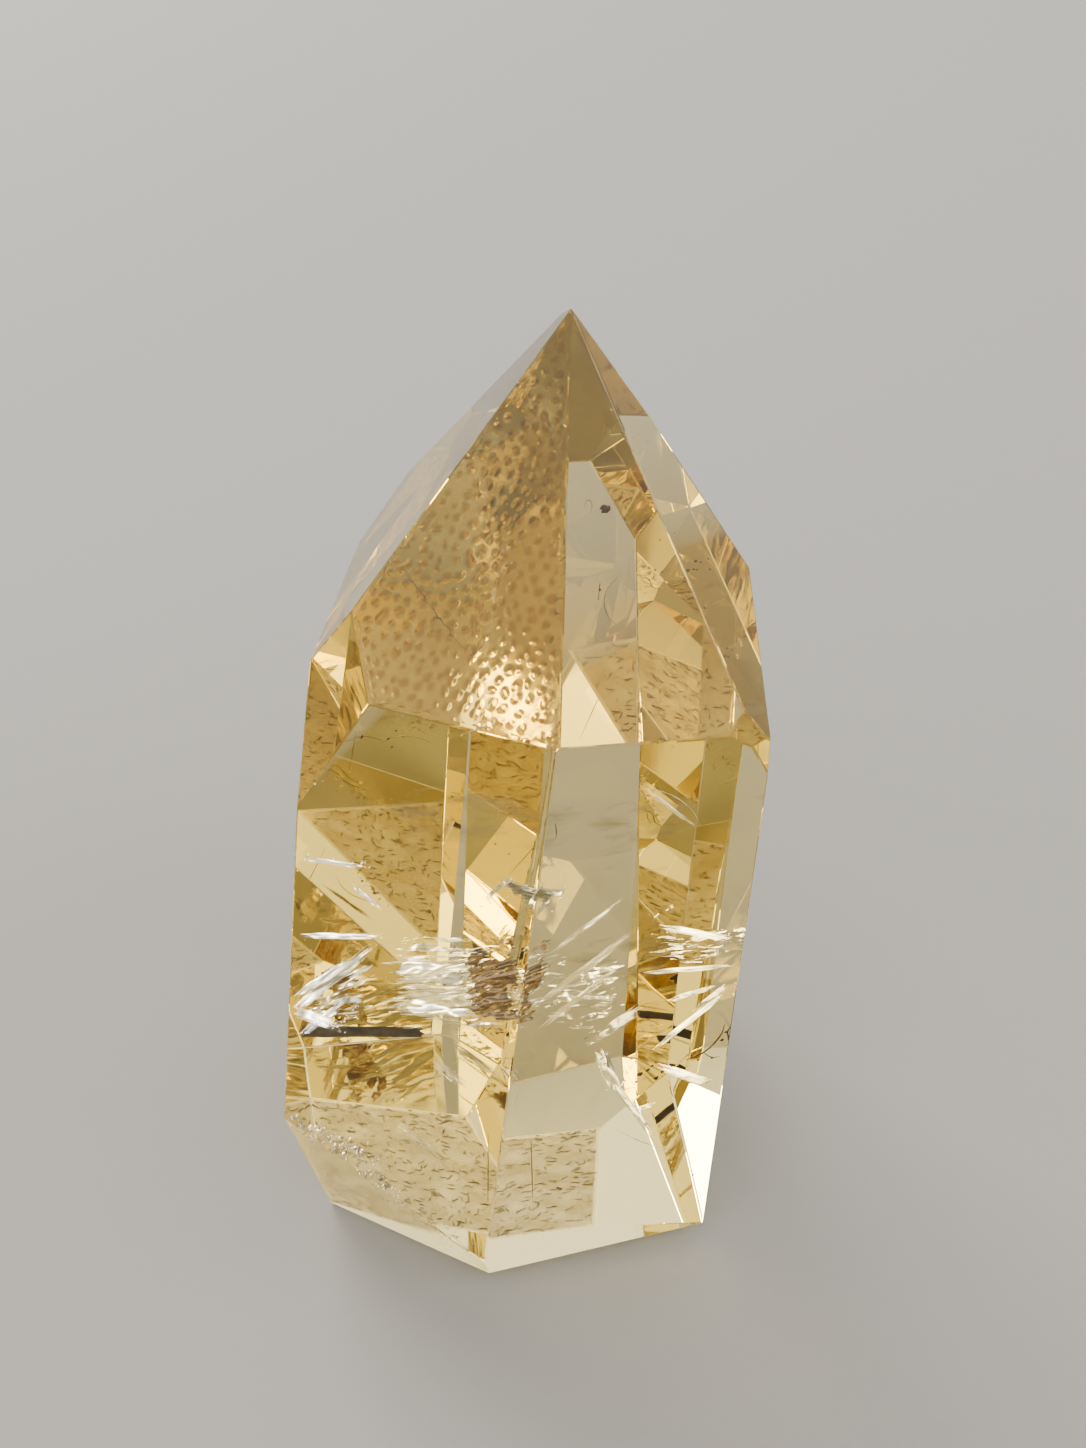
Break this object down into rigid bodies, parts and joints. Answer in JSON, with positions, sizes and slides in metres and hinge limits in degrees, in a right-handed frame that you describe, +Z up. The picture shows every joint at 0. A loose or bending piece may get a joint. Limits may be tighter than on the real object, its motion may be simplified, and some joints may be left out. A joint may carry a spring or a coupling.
{
  "type": "citrine crystal point",
  "caption": "Clear golden quartz crystal with tall faces and a slanting pointed tip, ground flat underneath so it stands upright.",
  "frame": {"origin": "on the flat the crystal stands on, under the middle of its outline seen from above", "axes": "+Z up towards the tip, -Y towards the front edge between the two widest tall faces, +X to the right of it"},
  "size_m": [0.0426, 0.0566, 0.09],
  "materials": {
    "citrine": "polished, clear golden, with veils and small cracks inside"
  },
  "bodies": {
    "root": {"crystal_point": "citrine"}
  },
  "joints": []
}
